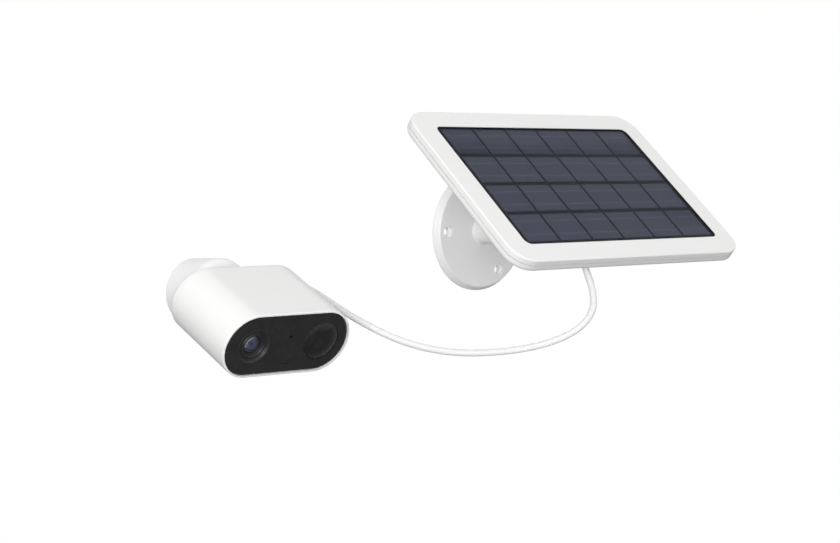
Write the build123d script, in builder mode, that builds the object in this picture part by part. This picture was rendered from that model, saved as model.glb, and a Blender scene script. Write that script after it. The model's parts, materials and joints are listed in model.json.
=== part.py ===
from build123d import *
import math
import os

# A solar-powered security camera: a small camera on a ball mount, a solar panel on a ball arm,
# and the charging cable that joins them. Both mounts stand on one wall, the plane Y = 0, and the
# object lies on its -Y side. X runs along the wall and Z is up. The origin is the centre of the
# panel bracket's wall face. Heights h are measured along the normal of the plane in use.

# Where things are: wall positions, reaches and the angles they are set to, in mm and degrees.
panel_tilt = 50.84  # the panel's outward normal above the horizontal
panel_arm_reach = 62.0  # wall to the centre of the panel's ball
panel_front = 42.7  # ball centre to the bezel's front face
camera_x, camera_z = -216.0, -29.2  # axis of the camera's wall base
camera_pitch = -23.85  # the lens looks down
camera_arm_reach = 41.2  # wall to the centre of the camera's ball
camera_front = 52.4  # ball centre to the glossy face
camera_rear = -3.6  # ball centre to the rear cover's outer face

# Panel
panel_width, panel_height, panel_corner = 190.6, 131.2, 15.0
panel_edge = 8.6  # thickness at the rim
bezel_side = 3.8
seam_gap = 0.4
window_width, window_height, window_corner = 162.4, 103.4, 4.5
window_x = 1.2  # the window sits off centre
lip, roof = 0.4, 1.6
laminate_width, laminate_height = 166.0, 109.4
glass_thick, cell_thick, board_thick = 0.6, 0.25, 1.6
cell_columns, cell_rows = 6, 4
cells_x, cells_y = 1.8, 0.8
side_margin, end_margin, column_gap, row_gap = 3.5, 2.4, 1.8, 3.0
cover_wall = 2.0
pod_width, pod_height, pod_depth, pod_corner = 76.0, 52.0, 8.0, 7.0
screw_x, screw_y = 86.0, 58.5

# Panel ball, liner, socket and clamp ring
panel_ball_r, panel_neck_r, panel_arm_r = 11.0, 4.2, 6.4
running = 0.05  # radial clearance of every running fit
liner_thick = 1.2
panel_mouth = 80.0  # half angle of the socket's mouth, from the wall side
socket_r, ring_r = 16.5, 20.5
mouth_h = -2.0
ring_top = 12.0
socket_flange_r, socket_flange = 21.0, 3.0
socket_screw_circle = 18.6

# Wall disc of the panel
disc_back_r, disc_front_r, disc_thick = 38.2, 35.7, 4.8
disc_screw_circle, disc_hole_r, disc_counterbore_r, disc_counterbore = 29.2, 2.4, 3.75, 2.4
hub_r, hub_top, spigot_r = 7.6, 17.0, 6.0

# Camera
body_width, body_height = 81.6, 37.6
body_wall = 2.0
rim_proud = 0.4
face_width, face_height, face_thick = 79.2, 35.2, 1.8
ledge_h = 50.2
seam_h = 1.3  # where the housing meets the rear cover
lens_x, pir_x, pir_y = -21.5, 22.1, 0.2
lens_opening_r, pir_r = 10.4, 11.0
camera_ball_r, camera_neck_r = 7.5, 3.8
camera_liner_thick = 1.0
camera_mouth = 61.0
clamp_r, clamp_roof = 14.5, 9.6
cell_r, cell_length = 10.5, 70.0
cell_h = 20.3
usb_x, button_x = 28.5, -28.5
cover_screws = [(x, y) for x in (-22.0, 22.0) for y in (-11.6, 11.6)]

# Camera's wall base
base_back_r, base_r, base_length, base_wall = 18.9, 20.5, 29.5, 1.8
plate_rim_r, plate_waist_r, plate_thick = 16.8, 15.8, 4.0
plate_screw_spacing, plate_hole_r = 22.0, 2.1

# Charging cable
cable_diameter = 4.0
gland_x, gland_h, gland_length = -27.0, 31.0, 8.0
plug_depth, plug_length = 7.5, 11.0
relief_length = 8.5


def facing(centre, elevation):
    """The plane through centre that faces out of the wall, tipped up by elevation degrees."""
    turn = math.radians(elevation)
    return Plane(origin=centre, x_dir=(1, 0, 0), z_dir=(0, -math.cos(turn), math.sin(turn)))


def point(plane, x, y, h):
    """A point given in a plane's own axes."""
    return plane.from_local_coords(Vector(x, y, h))


def side_of(plane):
    """The plane that holds a profile of (radius, h) corners, for turning about the plane's normal."""
    return Plane(origin=plane.origin, x_dir=plane.x_dir, z_dir=-plane.y_dir)


def turned(plane, corners, mode=Mode.ADD):
    """Adds the (radius, h) outline, turned about the plane's normal."""
    with BuildSketch(side_of(plane)) as profile:
        with BuildLine():
            Polyline(*corners, close=True)
        make_face()
    revolve(profile.sketch, axis=Axis(plane.origin, plane.z_dir), mode=mode)


def ball_ring(plane, inner, outer, start, stop):
    """Adds a ring cut from a thick spherical shell, between two angles from the wall side."""
    with BuildSketch(side_of(plane)) as profile:
        with BuildLine():
            inside = CenterArc((0, 0), inner, start - 90, stop - start)
            outside = CenterArc((0, 0), outer, start - 90, stop - start)
            Line(inside @ 0, outside @ 0)
            Line(inside @ 1, outside @ 1)
        make_face()
    revolve(profile.sketch, axis=Axis(plane.origin, plane.z_dir))


def crown(radius, rim, top):
    """The middle point of the arc, centred on the axis, from the top down to a rim at radius."""
    sphere_r = (radius**2 + (top - rim) ** 2) / (2 * (top - rim))
    half = math.asin(radius / sphere_r) / 2
    return (sphere_r * math.sin(half), top - sphere_r * (1 - math.cos(half)))


def slab(plane, h, thick, width, height, corner=0.0, x=0.0, y=0.0, mode=Mode.ADD):
    """Adds a plate from h to h + thick, with rounded corners."""
    with BuildSketch(plane.offset(h)) as outline:
        with Locations((x, y)):
            if corner:
                RectangleRounded(width, height, corner)
            else:
                Rectangle(width, height)
    extrude(outline.sketch, amount=thick, mode=mode)


def stadium(plane, h, thick, width, height, mode=Mode.ADD):
    """Adds a plate with fully round ends from h to h + thick."""
    with BuildSketch(plane.offset(h)) as outline:
        SlotOverall(width, height)
    extrude(outline.sketch, amount=thick, mode=mode)


def disc(plane, h, thick, radius, places=((0.0, 0.0),), mode=Mode.ADD):
    """Adds a round plate or post at each place, from h to h + thick."""
    with BuildSketch(plane.offset(h)) as outline:
        with Locations(*places):
            Circle(radius)
    extrude(outline.sketch, amount=thick, mode=mode)


def screws(plane, places, seat, length, shank_r, head_r, head):
    """Adds screws at each place: the head stands on the wall side of seat, the shank runs the other way."""
    disc(plane, seat, length, shank_r, places)
    disc(plane, seat - head, head, head_r, places)
    with BuildSketch(plane.offset(seat - head)) as drive:
        with Locations(*places):
            RegularPolygon(head_r * 0.5, 6)
    extrude(drive.sketch, amount=head * 0.6, mode=Mode.SUBTRACT)


def save(piece, name):
    """Labels a finished piece and writes its STEP file."""
    piece.part.label = name
    export_step(piece.part, f"parts/{name}.step")


os.makedirs("parts", exist_ok=True)

wall = Plane(origin=(0, 0, 0), x_dir=(1, 0, 0), z_dir=(0, -1, 0))
base_wall_plane = Plane(origin=(camera_x, 0, camera_z), x_dir=(1, 0, 0), z_dir=(0, -1, 0))
arm_end = facing((0, -panel_arm_reach, 0), 0)
panel = facing((0, -panel_arm_reach, 0), panel_tilt)
stud_end = facing((camera_x, -camera_arm_reach, camera_z), 0)
camera = facing((camera_x, -camera_arm_reach, camera_z), camera_pitch)

# Wall disc: a drafted rim, three counterbored screw holes and a hub that the arm turns in.
hole_places = [
    (disc_screw_circle * math.cos(math.radians(a)), disc_screw_circle * math.sin(math.radians(a)))
    for a in (60, 180, 300)
]
recess_r, recess_depth, washer_thick = 9.0, 3.0, 1.0
with BuildPart() as panel_wall_disc:
    turned(wall, [
        (0, 0), (disc_back_r, 0), (disc_back_r, 1.0), (disc_back_r - 0.8, 2.4),
        (disc_front_r + 0.6, disc_thick - 0.6), (disc_front_r, disc_thick),
        (hub_r + 1.4, disc_thick), (hub_r, disc_thick + 1.4), (hub_r, hub_top - 0.8),
        (hub_r - 0.8, hub_top), (0, hub_top),
    ])
    disc(wall, 0, recess_depth, recess_r, mode=Mode.SUBTRACT)
    disc(wall, 0, hub_top, spigot_r + running, mode=Mode.SUBTRACT)
    disc(wall, 0, disc_thick, disc_hole_r, hole_places, mode=Mode.SUBTRACT)
    disc(wall, disc_thick - disc_counterbore, disc_counterbore, disc_counterbore_r, hole_places,
         mode=Mode.SUBTRACT)
save(panel_wall_disc, "panel_wall_disc")

# Ball arm: a spigot in the hub, a shaft that narrows to the neck, and the ball.
arm_screw_r, arm_screw_length = 2.0, 13.0
shoulder = hub_top + 0.1
neck_h = -panel_ball_r * math.cos(math.asin(panel_neck_r / panel_ball_r)) + 0.4
with BuildPart() as panel_ball_arm:
    turned(wall, [
        (0, recess_depth + 0.1), (spigot_r, recess_depth + 0.1), (spigot_r, shoulder),
        (panel_arm_r + 1.0, shoulder), (panel_arm_r + 1.0, shoulder + 2.0), (panel_arm_r, shoulder + 3.2),
        (panel_arm_r, 33.0), (panel_arm_r - 0.7, 37.0), (panel_neck_r + 1.6, 42.0),
        (panel_neck_r + 0.3, 46.0), (panel_neck_r, 48.5), (panel_neck_r, panel_arm_reach + neck_h),
        (0, panel_arm_reach + neck_h),
    ])
    with Locations(arm_end.origin):
        Sphere(panel_ball_r)
    disc(wall, recess_depth, arm_screw_length, arm_screw_r, mode=Mode.SUBTRACT)
save(panel_ball_arm, "panel_ball_arm")

with BuildPart() as arm_washer:
    disc(wall, recess_depth - 0.1 - washer_thick, washer_thick, 8.0)
    disc(wall, recess_depth - 0.1 - washer_thick, washer_thick, arm_screw_r, mode=Mode.SUBTRACT)
save(arm_washer, "arm_washer")

with BuildPart() as arm_screw:
    screws(wall, [(0, 0)], recess_depth - 0.1 - washer_thick, arm_screw_length, arm_screw_r, 4.0, 1.6)
save(arm_screw, "arm_screw")

# Friction liner between ball and socket.
liner_inner = panel_ball_r + running
liner_outer = liner_inner + liner_thick
with BuildPart() as panel_ball_liner:
    ball_ring(panel, liner_inner, liner_outer, panel_mouth, 150)
save(panel_ball_liner, "panel_ball_liner")

# Socket: a flange on the back cover's pod and a cup whose end is coned for the clamp ring.
pod_h = panel_front - panel_edge - pod_depth
seat_r = liner_outer + running
socket_screw_places = [
    (socket_screw_circle * math.cos(math.radians(a)), socket_screw_circle * math.sin(math.radians(a)))
    for a in (45, 135, 225, 315)
]
insert_depth = 6.0
with BuildPart() as panel_socket:
    turned(panel, [
        (0, pod_h), (socket_flange_r, pod_h), (socket_flange_r, pod_h - socket_flange + 0.8),
        (socket_flange_r - 0.8, pod_h - socket_flange), (socket_r, pod_h - socket_flange),
        (socket_r, 2.5), (socket_r - 2.0, mouth_h), (0, mouth_h),
    ])
    with Locations(panel.origin):
        Sphere(seat_r, mode=Mode.SUBTRACT)
    disc(panel, seat_r - 2.0, pod_h - seat_r - 1.0, 7.0, mode=Mode.SUBTRACT)
    disc(panel, pod_h - socket_flange, socket_flange, 1.3, socket_screw_places, mode=Mode.SUBTRACT)
save(panel_socket, "panel_socket")

with BuildPart() as socket_screws:
    screws(panel, socket_screw_places, pod_h - socket_flange, socket_flange + 4.0, 1.25, 1.9, 1.2)
save(socket_screws, "socket_screws")

# Clamp ring: turned by hand, its cone closes the socket's end on the liner.
grip_count, grip_r = 24, 1.1
with BuildPart() as panel_clamp_ring:
    turned(panel, [
        (socket_r + running, ring_top), (ring_r - 0.8, ring_top), (ring_r, ring_top - 0.8),
        (ring_r, mouth_h + 0.8), (ring_r - 0.8, mouth_h), (socket_r - 2.0 + 0.08, mouth_h),
        (socket_r + running, 2.5),
    ])
    grip_places = [
        ((ring_r + 0.45) * math.cos(math.tau * k / grip_count),
         (ring_r + 0.45) * math.sin(math.tau * k / grip_count))
        for k in range(grip_count)
    ]
    disc(panel, mouth_h + 1.5, ring_top - mouth_h - 3.0, grip_r, grip_places, mode=Mode.SUBTRACT)
save(panel_clamp_ring, "panel_clamp_ring")

# Front bezel with its window, rebate for the laminate and screw posts.
glass_h = panel_front - lip - glass_thick
cells_h = glass_h - cell_thick
board_h = cells_h - board_thick
cover_h = panel_front - bezel_side - seam_gap  # top edge of the back cover
back_h = panel_front - panel_edge
floor_h = back_h + cover_wall
panel_screw_places = [(x, y) for x in (-screw_x, screw_x) for y in (-screw_y, screw_y)]
panel_screw_places += [(0.0, -60.2), (0.0, 60.2)]
with BuildPart() as panel_bezel:
    slab(panel, panel_front - bezel_side, bezel_side, panel_width, panel_height, panel_corner)
    fillet(panel_bezel.faces().sort_by(Axis(panel.origin, panel.z_dir))[-1].edges(), 0.9)
    slab(panel, panel_front - lip, lip, window_width, window_height, window_corner, x=window_x,
         mode=Mode.SUBTRACT)
    slab(panel, panel_front - bezel_side, bezel_side - roof, panel_width - 4, panel_height - 4,
         panel_corner - 2, mode=Mode.SUBTRACT)
    slab(panel, panel_front - roof - 1.4, 1.4, laminate_width + 3.0, laminate_height + 3.0, 3.5, x=window_x)
    slab(panel, panel_front - bezel_side, bezel_side - lip, laminate_width + 0.4, laminate_height + 0.4,
         2.0, x=window_x, mode=Mode.SUBTRACT)
    disc(panel, floor_h, panel_front - lip - floor_h, 2.6, panel_screw_places)
    disc(panel, floor_h, 4.5, 1.1, panel_screw_places, mode=Mode.SUBTRACT)
save(panel_bezel, "panel_bezel")

with BuildPart() as panel_glass:
    slab(panel, glass_h, glass_thick, laminate_width, laminate_height, 2.0, x=window_x)
save(panel_glass, "panel_glass")

cell_width = (window_width - 2 * side_margin - (cell_columns - 1) * column_gap) / cell_columns
cell_height = (window_height - 2 * end_margin - (cell_rows - 1) * row_gap) / cell_rows
with BuildPart() as solar_cells:
    with BuildSketch(panel.offset(cells_h)):
        with Locations((cells_x, cells_y)):
            with GridLocations(cell_width + column_gap, cell_height + row_gap, cell_columns, cell_rows):
                Rectangle(cell_width, cell_height)
    extrude(amount=cell_thick)
save(solar_cells, "solar_cells")

with BuildPart() as cell_backing:
    slab(panel, board_h, board_thick, laminate_width, laminate_height, 2.0, x=window_x)
save(cell_backing, "cell_backing")

gasket_thick = 0.8
with BuildPart() as panel_gasket:
    slab(panel, board_h - gasket_thick, gasket_thick, laminate_width - 2, laminate_height - 2, 3.0,
         x=window_x)
    slab(panel, board_h - gasket_thick, gasket_thick, laminate_width - 8, laminate_height - 8, 2.0,
         x=window_x, mode=Mode.SUBTRACT)
save(panel_gasket, "panel_gasket")

# Back cover: a shallow tray with a deeper pod for the charge board, the socket and the cable gland.
with BuildPart() as panel_back_cover:
    slab(panel, back_h, cover_h - back_h, panel_width, panel_height, panel_corner)
    fillet(panel_back_cover.faces().sort_by(Axis(panel.origin, panel.z_dir))[0].edges(), 2.4)
    slab(panel, pod_h, pod_depth + 1, pod_width, pod_height, pod_corner)
    fillet(panel_back_cover.faces().sort_by(Axis(panel.origin, panel.z_dir))[0].edges(), 2.0)
    slab(panel, floor_h, cover_h - floor_h, panel_width - 4.2, panel_height - 4.2, panel_corner - 2,
         mode=Mode.SUBTRACT)
    slab(panel, pod_h + cover_wall, floor_h - pod_h, pod_width - 4, pod_height - 4, pod_corner - 2,
         mode=Mode.SUBTRACT)
    slab(panel, floor_h, board_h - gasket_thick - floor_h, laminate_width - 3, laminate_height - 3, 3.0,
         x=window_x)
    slab(panel, floor_h, board_h - gasket_thick - floor_h, laminate_width - 7, laminate_height - 7, 2.0,
         x=window_x, mode=Mode.SUBTRACT)
    disc(panel, pod_h + cover_wall, insert_depth, 3.2, socket_screw_places)
    disc(panel, pod_h, insert_depth, 1.25, socket_screw_places, mode=Mode.SUBTRACT)
    disc(panel, back_h, floor_h - back_h, 1.3, panel_screw_places, mode=Mode.SUBTRACT)
    disc(panel, back_h, 1.3, 2.2, panel_screw_places, mode=Mode.SUBTRACT)
    gland_axis = Plane(origin=point(panel, gland_x, -pod_height / 2 - 1, gland_h),
                       x_dir=panel.x_dir, z_dir=panel.y_dir)
    disc(gland_axis, 0, 5, cable_diameter / 2 + 0.5, mode=Mode.SUBTRACT)
save(panel_back_cover, "panel_back_cover")

with BuildPart() as panel_screws:
    screws(panel, panel_screw_places, back_h + 1.3, 5.0, 1.1, 2.0, 1.1)
save(panel_screws, "panel_screws")

# Charge board on the pod's floor, with its converter, coil, capacitors and cable terminal.
charge_h = pod_h + cover_wall + 0.2
with BuildPart() as charge_board:
    slab(panel, charge_h, 1.6, 17.6, 36.0, 1.0, x=-26.4)
    disc(panel, charge_h, 1.6, 1.6, [(-32.0, 14.5), (-32.0, -14.5)], mode=Mode.SUBTRACT)
save(charge_board, "charge_board")

with BuildPart() as charge_parts:
    top = charge_h + 1.6
    slab(panel, top, 1.2, 5.0, 5.0, x=-27.0, y=9.0)
    slab(panel, top, 3.0, 6.6, 6.6, 1.2, x=-27.0, y=0.0)
    disc(panel, top, 5.5, 2.5, [(-20.6, 12.0)])
    slab(panel, top, 4.2, 6.0, 5.0, x=-21.0, y=-8.0)
save(charge_parts, "charge_parts")

# Gland: a moulded strain relief that grips the cable in the pod's lower wall.
wall_out = Plane(origin=point(panel, gland_x, -pod_height / 2, gland_h),
                 x_dir=panel.x_dir, z_dir=-panel.y_dir)
cable_r = cable_diameter / 2
with BuildPart() as cable_gland:
    turned(wall_out, [
        (0, -4.0), (2.85, -4.0), (2.85, -2.05), (2.45, -2.05), (2.45, 0.05), (3.05, 0.05),
        (3.0, 2.0), (2.7, gland_length), (0, gland_length),
    ])
    disc(wall_out, 1.0, gland_length - 1.0, cable_r, mode=Mode.SUBTRACT)
save(cable_gland, "cable_gland")

# Camera housing: a stadium tube, open at the front for the face and at the rear for the cover.
inner_width, inner_height = body_width - 2 * body_wall, body_height - 2 * body_wall
boss_end = 11.5
lip_h = 5.0
with BuildPart() as camera_housing:
    stadium(camera, seam_h, camera_front + rim_proud - seam_h, body_width, body_height)
    fillet(camera_housing.faces().sort_by(Axis(camera.origin, camera.z_dir))[-1].edges(), 0.8)
    stadium(camera, seam_h, ledge_h - seam_h, inner_width, inner_height, mode=Mode.SUBTRACT)
    stadium(camera, ledge_h, camera_front + rim_proud - ledge_h, face_width + 0.1, face_height + 0.1,
            mode=Mode.SUBTRACT)
    disc(camera, lip_h + 0.2, boss_end - lip_h, 2.8, cover_screws)
    for x, y in cover_screws:
        slab(camera, lip_h + 0.2, boss_end - lip_h, 3.6, 5.6, x=x, y=math.copysign(14.2, y))
    disc(camera, lip_h + 0.2, boss_end - lip_h, 1.0, cover_screws, mode=Mode.SUBTRACT)
save(camera_housing, "camera_housing")

# Rear cover: rounded edge, rebated lip, ball seat, USB opening and button well.
lip_width, lip_height = inner_width - 0.2, inner_height - 0.2
floor_top = camera_rear + 2.2
camera_liner_inner = camera_ball_r + running
camera_liner_outer = camera_liner_inner + camera_liner_thick
camera_seat_r = camera_liner_outer + running
clamp_screw_places = [
    (11.8 * math.cos(math.radians(a)), 11.8 * math.sin(math.radians(a))) for a in (0, 120, 240)
]
button_r, button_travel = 3.6, 0.6
with BuildPart() as camera_rear_cover:
    stadium(camera, camera_rear, seam_h - 0.1 - camera_rear, body_width, body_height)
    fillet(camera_rear_cover.faces().sort_by(Axis(camera.origin, camera.z_dir))[0].edges(), 4.4)
    stadium(camera, seam_h - 0.1, lip_h - seam_h + 0.1, lip_width, lip_height)
    stadium(camera, 2.3, 1.4, body_width + 2, body_height + 2)
    stadium(camera, 2.3, 1.4, body_width + 2, body_height + 2, mode=Mode.SUBTRACT)
    stadium(camera, 2.3, 1.4, lip_width - 1.6, lip_height - 1.6)
    stadium(camera, floor_top, lip_h - floor_top, lip_width - 3.6, lip_height - 3.6, mode=Mode.SUBTRACT)
    disc(camera, floor_top, 1.0 - floor_top, clamp_r)
    disc(camera, floor_top, lip_h - floor_top + 0.1, 2.8, cover_screws)
    with Locations(camera.origin):
        Sphere(camera_seat_r, mode=Mode.SUBTRACT)
    disc(camera, -1.0, 2.0, 0.8, clamp_screw_places, mode=Mode.SUBTRACT)
    disc(camera, camera_rear, lip_h + 0.1 - camera_rear, 1.3, cover_screws, mode=Mode.SUBTRACT)
    disc(camera, camera_rear, 1.5, 2.4, cover_screws, mode=Mode.SUBTRACT)
    slab(camera, camera_rear, 2.2, 3.4, 9.2, 1.4, x=usb_x, mode=Mode.SUBTRACT)
    disc(camera, camera_rear, 2.2, button_r + 0.1, [(button_x, 0)], mode=Mode.SUBTRACT)
save(camera_rear_cover, "camera_rear_cover")

with BuildPart() as rear_seal:
    stadium(camera, 2.4, 1.2, inner_width, inner_height)
    stadium(camera, 2.4, 1.2, lip_width - 1.6, lip_height - 1.6, mode=Mode.SUBTRACT)
save(rear_seal, "rear_seal")

with BuildPart() as housing_screws:
    screws(camera, cover_screws, camera_rear + 1.5, 12.0, 1.0, 2.1, 1.3)
save(housing_screws, "housing_screws")

# Face, its gasket and the frame that carries the front electronics.
slot_x, slot_y, slot_width = 2.0, -11.9, 6.0
mic_place, light_place = (1.2, 4.1), (1.0, 9.8)
frame_h = 47.6
with BuildPart() as face_plate:
    stadium(camera, camera_front - face_thick, face_thick, face_width, face_height)
    fillet(face_plate.faces().sort_by(Axis(camera.origin, camera.z_dir))[-1].edges(), 1.3)
    disc(camera, camera_front - face_thick, face_thick, lens_opening_r, [(lens_x, 0)], mode=Mode.SUBTRACT)
    disc(camera, camera_front - face_thick, face_thick, pir_r + 0.1, [(pir_x, pir_y)], mode=Mode.SUBTRACT)
    disc(camera, camera_front - face_thick, face_thick, 0.9, [mic_place], mode=Mode.SUBTRACT)
    disc(camera, camera_front - face_thick, face_thick, 0.95, [light_place], mode=Mode.SUBTRACT)
    slab(camera, camera_front - face_thick, face_thick, slot_width, 0.4, 0.18, x=slot_x, y=slot_y,
         mode=Mode.SUBTRACT)
save(face_plate, "face_plate")

with BuildPart() as face_gasket:
    stadium(camera, ledge_h, camera_front - face_thick - ledge_h, face_width, face_height)
    stadium(camera, ledge_h, camera_front - face_thick - ledge_h, inner_width, inner_height,
            mode=Mode.SUBTRACT)
save(face_gasket, "face_gasket")

with BuildPart() as front_frame:
    stadium(camera, frame_h, ledge_h - frame_h, inner_width - 0.2, inner_height - 0.2)
    stadium(camera, 40.0, frame_h - 40.0, inner_width - 0.2, inner_height - 0.2)
    stadium(camera, 40.0, frame_h - 40.0, inner_width - 3.2, inner_height - 3.2, mode=Mode.SUBTRACT)
    disc(camera, frame_h, ledge_h - frame_h, 8.6, [(lens_x, 0)], mode=Mode.SUBTRACT)
    disc(camera, frame_h, ledge_h - frame_h, pir_r + 1.6, [(pir_x, pir_y)], mode=Mode.SUBTRACT)
    slab(camera, frame_h, ledge_h - frame_h, 5.0, 14.0, 1.0, x=1.0, y=6.0, mode=Mode.SUBTRACT)
    slab(camera, frame_h, ledge_h - frame_h, 12.0, 3.0, 1.0, x=slot_x, y=slot_y, mode=Mode.SUBTRACT)
save(front_frame, "front_frame")

# Lens: a stepped bezel, the barrel with its elements, the holder, the sensor and its board.
with BuildPart() as lens_bezel:
    lens_axis = Plane(origin=point(camera, lens_x, 0, 0), x_dir=camera.x_dir, z_dir=camera.z_dir)
    turned(lens_axis, [
        (lens_opening_r - 0.05, ledge_h), (lens_opening_r - 0.05, camera_front - 0.1),
        (9.8, camera_front + 0.1), (9.4, camera_front - 0.2), (9.1, camera_front - 0.6),
        (8.7, camera_front - 0.6), (8.4, camera_front - 1.0), (7.65, camera_front - 1.0),
        (7.65, ledge_h),
    ])
save(lens_bezel, "lens_bezel")

barrel_r, barrel_front, barrel_back = 6.0, camera_front - 0.5, 36.0
hood_r, hood_h = 7.4, 48.4
with BuildPart() as lens_barrel:
    turned(lens_axis, [
        (0, barrel_back), (barrel_r, barrel_back), (barrel_r, hood_h), (hood_r, hood_h),
        (hood_r, barrel_front - 0.3), (hood_r - 0.3, barrel_front), (6.8, barrel_front),
        (6.3, barrel_front - 0.9), (5.9, barrel_front - 0.9), (5.6, barrel_front - 1.6),
        (0, barrel_front - 1.6),
    ])
    disc(lens_axis, barrel_back, barrel_front - barrel_back - 2.5, 4.0, mode=Mode.SUBTRACT)
    disc(lens_axis, barrel_front - 3.0, 3.0, 5.0, mode=Mode.SUBTRACT)
save(lens_barrel, "lens_barrel")

front_glass_h = barrel_front - 3.0
with BuildPart() as lens_elements:
    with BuildSketch(side_of(lens_axis)) as front_element:
        with BuildLine():
            Line((0, front_glass_h), (5.0, front_glass_h))
            Line((5.0, front_glass_h), (5.0, barrel_front - 1.7))
            ThreePointArc((5.0, barrel_front - 1.7), crown(5.0, barrel_front - 1.7, barrel_front - 0.1),
                          (0, barrel_front - 0.1))
            Line((0, barrel_front - 0.1), (0, front_glass_h))
        make_face()
    revolve(front_element.sketch, axis=Axis(lens_axis.origin, lens_axis.z_dir))
    disc(lens_axis, 42.0, 1.8, 4.0)
    disc(lens_axis, 38.0, 1.4, 4.0)
save(lens_elements, "lens_elements")

sensor_h = 33.2
with BuildPart() as lens_holder:
    slab(camera, sensor_h, 8.0, 15.0, 15.0, 1.0, x=lens_x)
    slab(camera, sensor_h, 2.6, 11.0, 11.0, x=lens_x, mode=Mode.SUBTRACT)
    disc(lens_axis, sensor_h, 8.0, barrel_r + 0.05, mode=Mode.SUBTRACT)
save(lens_holder, "lens_holder")

with BuildPart() as sensor_board:
    slab(camera, sensor_h - 1.2, 1.2, 24.0, 22.0, 1.0, x=lens_x)
save(sensor_board, "sensor_board")

with BuildPart() as image_sensor:
    slab(camera, sensor_h, 1.0, 8.0, 6.0, x=lens_x)
save(image_sensor, "image_sensor")

# Motion detector: a domed lens over a round sensor on its own board.
pir_axis = Plane(origin=point(camera, pir_x, pir_y, 0), x_dir=camera.x_dir, z_dir=camera.z_dir)
dome_rise, dome_wall = 3.4, 0.8
dome_foot = camera_front - face_thick
with BuildPart() as pir_lens:
    with BuildSketch(side_of(pir_axis)) as dome:
        with BuildLine():
            Line((0, camera_front + dome_rise), (0, camera_front + dome_rise - dome_wall))
            ThreePointArc((0, camera_front + dome_rise - dome_wall),
                          crown(pir_r - dome_wall, camera_front - 0.6, camera_front + dome_rise - dome_wall),
                          (pir_r - dome_wall, camera_front - 0.6))
            Polyline((pir_r - dome_wall, camera_front - 0.6), (pir_r - dome_wall, dome_foot - 1.0),
                     (pir_r + 1.4, dome_foot - 1.0), (pir_r + 1.4, dome_foot), (pir_r, dome_foot),
                     (pir_r, camera_front - 0.2))
            ThreePointArc((pir_r, camera_front - 0.2),
                          crown(pir_r, camera_front - 0.2, camera_front + dome_rise),
                          (0, camera_front + dome_rise))
        make_face()
    revolve(dome.sketch, axis=Axis(pir_axis.origin, pir_axis.z_dir))
save(pir_lens, "pir_lens")

with BuildPart() as pir_board:
    slab(camera, 42.0, 1.2, 21.0, 22.0, 1.0, x=pir_x)
save(pir_board, "pir_board")

with BuildPart() as pir_sensor:
    turned(pir_axis, [(0, 43.2), (4.7, 43.2), (4.7, 43.8), (4.1, 43.8), (4.1, 47.0), (3.7, 47.4), (0, 47.4)])
save(pir_sensor, "pir_sensor")

# Board between lens and detector: microphone, status light pipe and loudspeaker.
with BuildPart() as front_board:
    slab(camera, 44.8, 1.2, 17.0, 16.5, 1.0, x=1.0, y=5.5)
save(front_board, "front_board")

with BuildPart() as microphone:
    slab(camera, 46.0, 1.4, 3.5, 2.7, x=mic_place[0], y=mic_place[1])
save(microphone, "microphone")

with BuildPart() as status_light_pipe:
    disc(camera, 46.6, camera_front - 46.6, 0.9, [light_place])
    disc(camera, 46.6, 1.0, 1.6, [light_place])
save(status_light_pipe, "status_light_pipe")

with BuildPart() as loudspeaker:
    slab(camera, 42.0, 5.4, 18.0, 9.0, 2.0, x=slot_x, y=-9.6)
    slab(camera, 46.4, 1.0, 15.0, 6.4, 1.5, x=slot_x, y=-9.6, mode=Mode.SUBTRACT)
    disc(camera, 46.4, 0.5, 2.6, [(slot_x, -9.6)])
save(loudspeaker, "loudspeaker")

# Main board above the cell, with its shield can, and the aerial beside it.
board_y = 12.0
with BuildPart() as main_board:
    slab(camera, 12.5, 25.0, 62.0, 1.2, y=board_y + 0.6)
save(main_board, "main_board")

with BuildPart() as shield_can:
    slab(camera, 16.0, 16.0, 20.0, 2.0, x=-12.0, y=board_y + 2.2)
    slab(camera, 18.0, 9.0, 9.0, 1.4, x=14.0, y=board_y + 1.9)
save(shield_can, "shield_can")

with BuildPart() as wifi_aerial:
    slab(camera, 28.5, 7.0, 36.0, 0.3, x=0.0, y=16.4)
save(wifi_aerial, "wifi_aerial")

# Cell in its cradle.
along_x = Plane(origin=point(camera, 0, 0, cell_h), x_dir=camera.y_dir, z_dir=camera.x_dir)
with BuildPart() as battery_cell:
    disc(along_x, -cell_length / 2, cell_length, cell_r)
    disc(along_x, cell_length / 2, 1.0, 4.0)
save(battery_cell, "battery_cell")

cradle_x = 20.4
with BuildPart() as battery_cradle:
    for x in (-cradle_x, cradle_x):
        slab(camera, cell_h - 8.0, 16.0, 3.0, 27.6, x=x, y=-2.9)
    slab(camera, cell_h - 4.0, 8.0, 2 * cradle_x, 2.0, y=-15.6)
    disc(along_x, -cell_length / 2, cell_length, cell_r + 0.05, mode=Mode.SUBTRACT)
save(battery_cradle, "battery_cradle")

# Charging socket and its board, behind the rear cover's opening.
with BuildPart() as usb_board:
    slab(camera, 5.6, 1.2, 10.0, 12.0, 1.0, x=usb_x)
save(usb_board, "usb_board")

with BuildPart() as usb_socket:
    slab(camera, -1.2, 6.8, 3.2, 9.0, 1.3, x=usb_x)
    slab(camera, -1.2, 6.0, 2.6, 8.4, 1.1, x=usb_x, mode=Mode.SUBTRACT)
    slab(camera, 0.0, 5.0, 0.7, 6.6, x=usb_x)
save(usb_socket, "usb_socket")

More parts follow.
